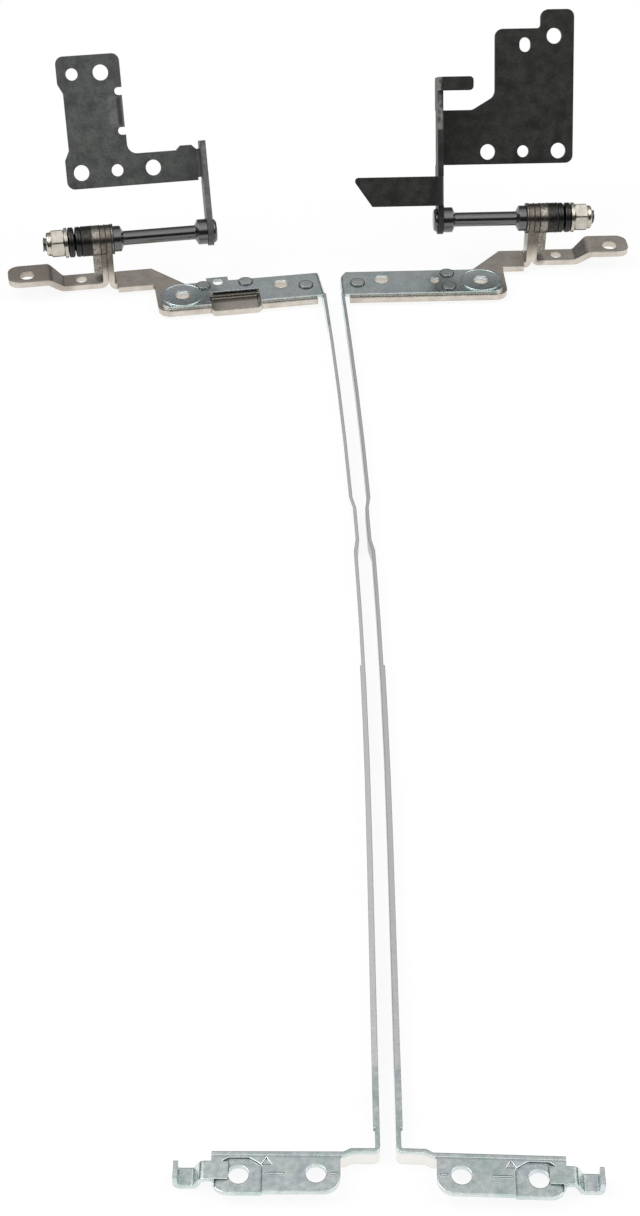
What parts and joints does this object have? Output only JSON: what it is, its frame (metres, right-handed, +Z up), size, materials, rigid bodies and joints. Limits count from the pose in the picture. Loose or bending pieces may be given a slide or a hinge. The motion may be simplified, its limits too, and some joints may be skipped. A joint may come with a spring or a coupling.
{
  "type": "laptop hinge pair",
  "caption": "Left and right friction hinges for a laptop lid: black base brackets on shafts with spring-washer packs, plated lid brackets and long thin rails with screw feet.",
  "frame": {"origin": "on the table under the middle of the pair's box, as the pair lies with its rails flat", "axes": "+X from the left hinge to the right hinge, about along the shafts; +Y from the rails' feet towards the hinge shafts; +Z up from the table"},
  "size_m": [0.1336, 0.2552, 0.0485],
  "materials": {
    "black_steel": "satin black oxide",
    "nickel_plate": "satin nickel plate",
    "zinc_plate": "bright zinc plate with a bluish tint",
    "gunmetal": "dark hardened steel",
    "black_spring": "oiled black spring steel"
  },
  "bodies": {
    "lid_side": {"left_rail": "zinc_plate", "left_rail_rivets": "zinc_plate", "left_lid_bracket": "nickel_plate", "left_outer_foot": "nickel_plate", "left_friction_washer": "nickel_plate", "left_stop_plate": "nickel_plate", "right_rail": "zinc_plate", "right_rail_rivets": "zinc_plate", "right_lid_bracket": "nickel_plate", "right_outer_foot": "nickel_plate", "right_friction_washer": "nickel_plate", "right_stop_plate": "nickel_plate"},
    "left_base": {"left_base_bracket": "black_steel", "left_shaft": "black_steel", "left_spring_seat": "gunmetal", "left_end_washer": "nickel_plate", "left_lock_nut": "nickel_plate", "left_disc_spring_1": "black_spring", "left_disc_spring_2": "black_spring", "left_disc_spring_3": "black_spring", "left_disc_spring_4": "black_spring"},
    "right_base": {"right_base_bracket": "black_steel", "right_shaft": "black_steel", "right_spring_seat": "gunmetal", "right_end_washer": "nickel_plate", "right_lock_nut": "nickel_plate", "right_disc_spring_1": "black_spring", "right_disc_spring_2": "black_spring", "right_disc_spring_3": "black_spring", "right_disc_spring_4": "black_spring"}
  },
  "joints": [
    {"name": "left_hinge", "type": "hinge", "parent": "lid_side", "child": "left_base", "pos_m": [-0.03414, 0.09661, 0.0115], "axis": [0.9866, 0.1633, 0], "range_deg": [-18, 117]},
    {"name": "right_hinge", "type": "hinge", "parent": "lid_side", "child": "right_base", "pos_m": [0.03506, 0.10353, 0.0115], "axis": [0.9991, 0.0419, 0], "range_deg": [-18, 117]}
  ]
}
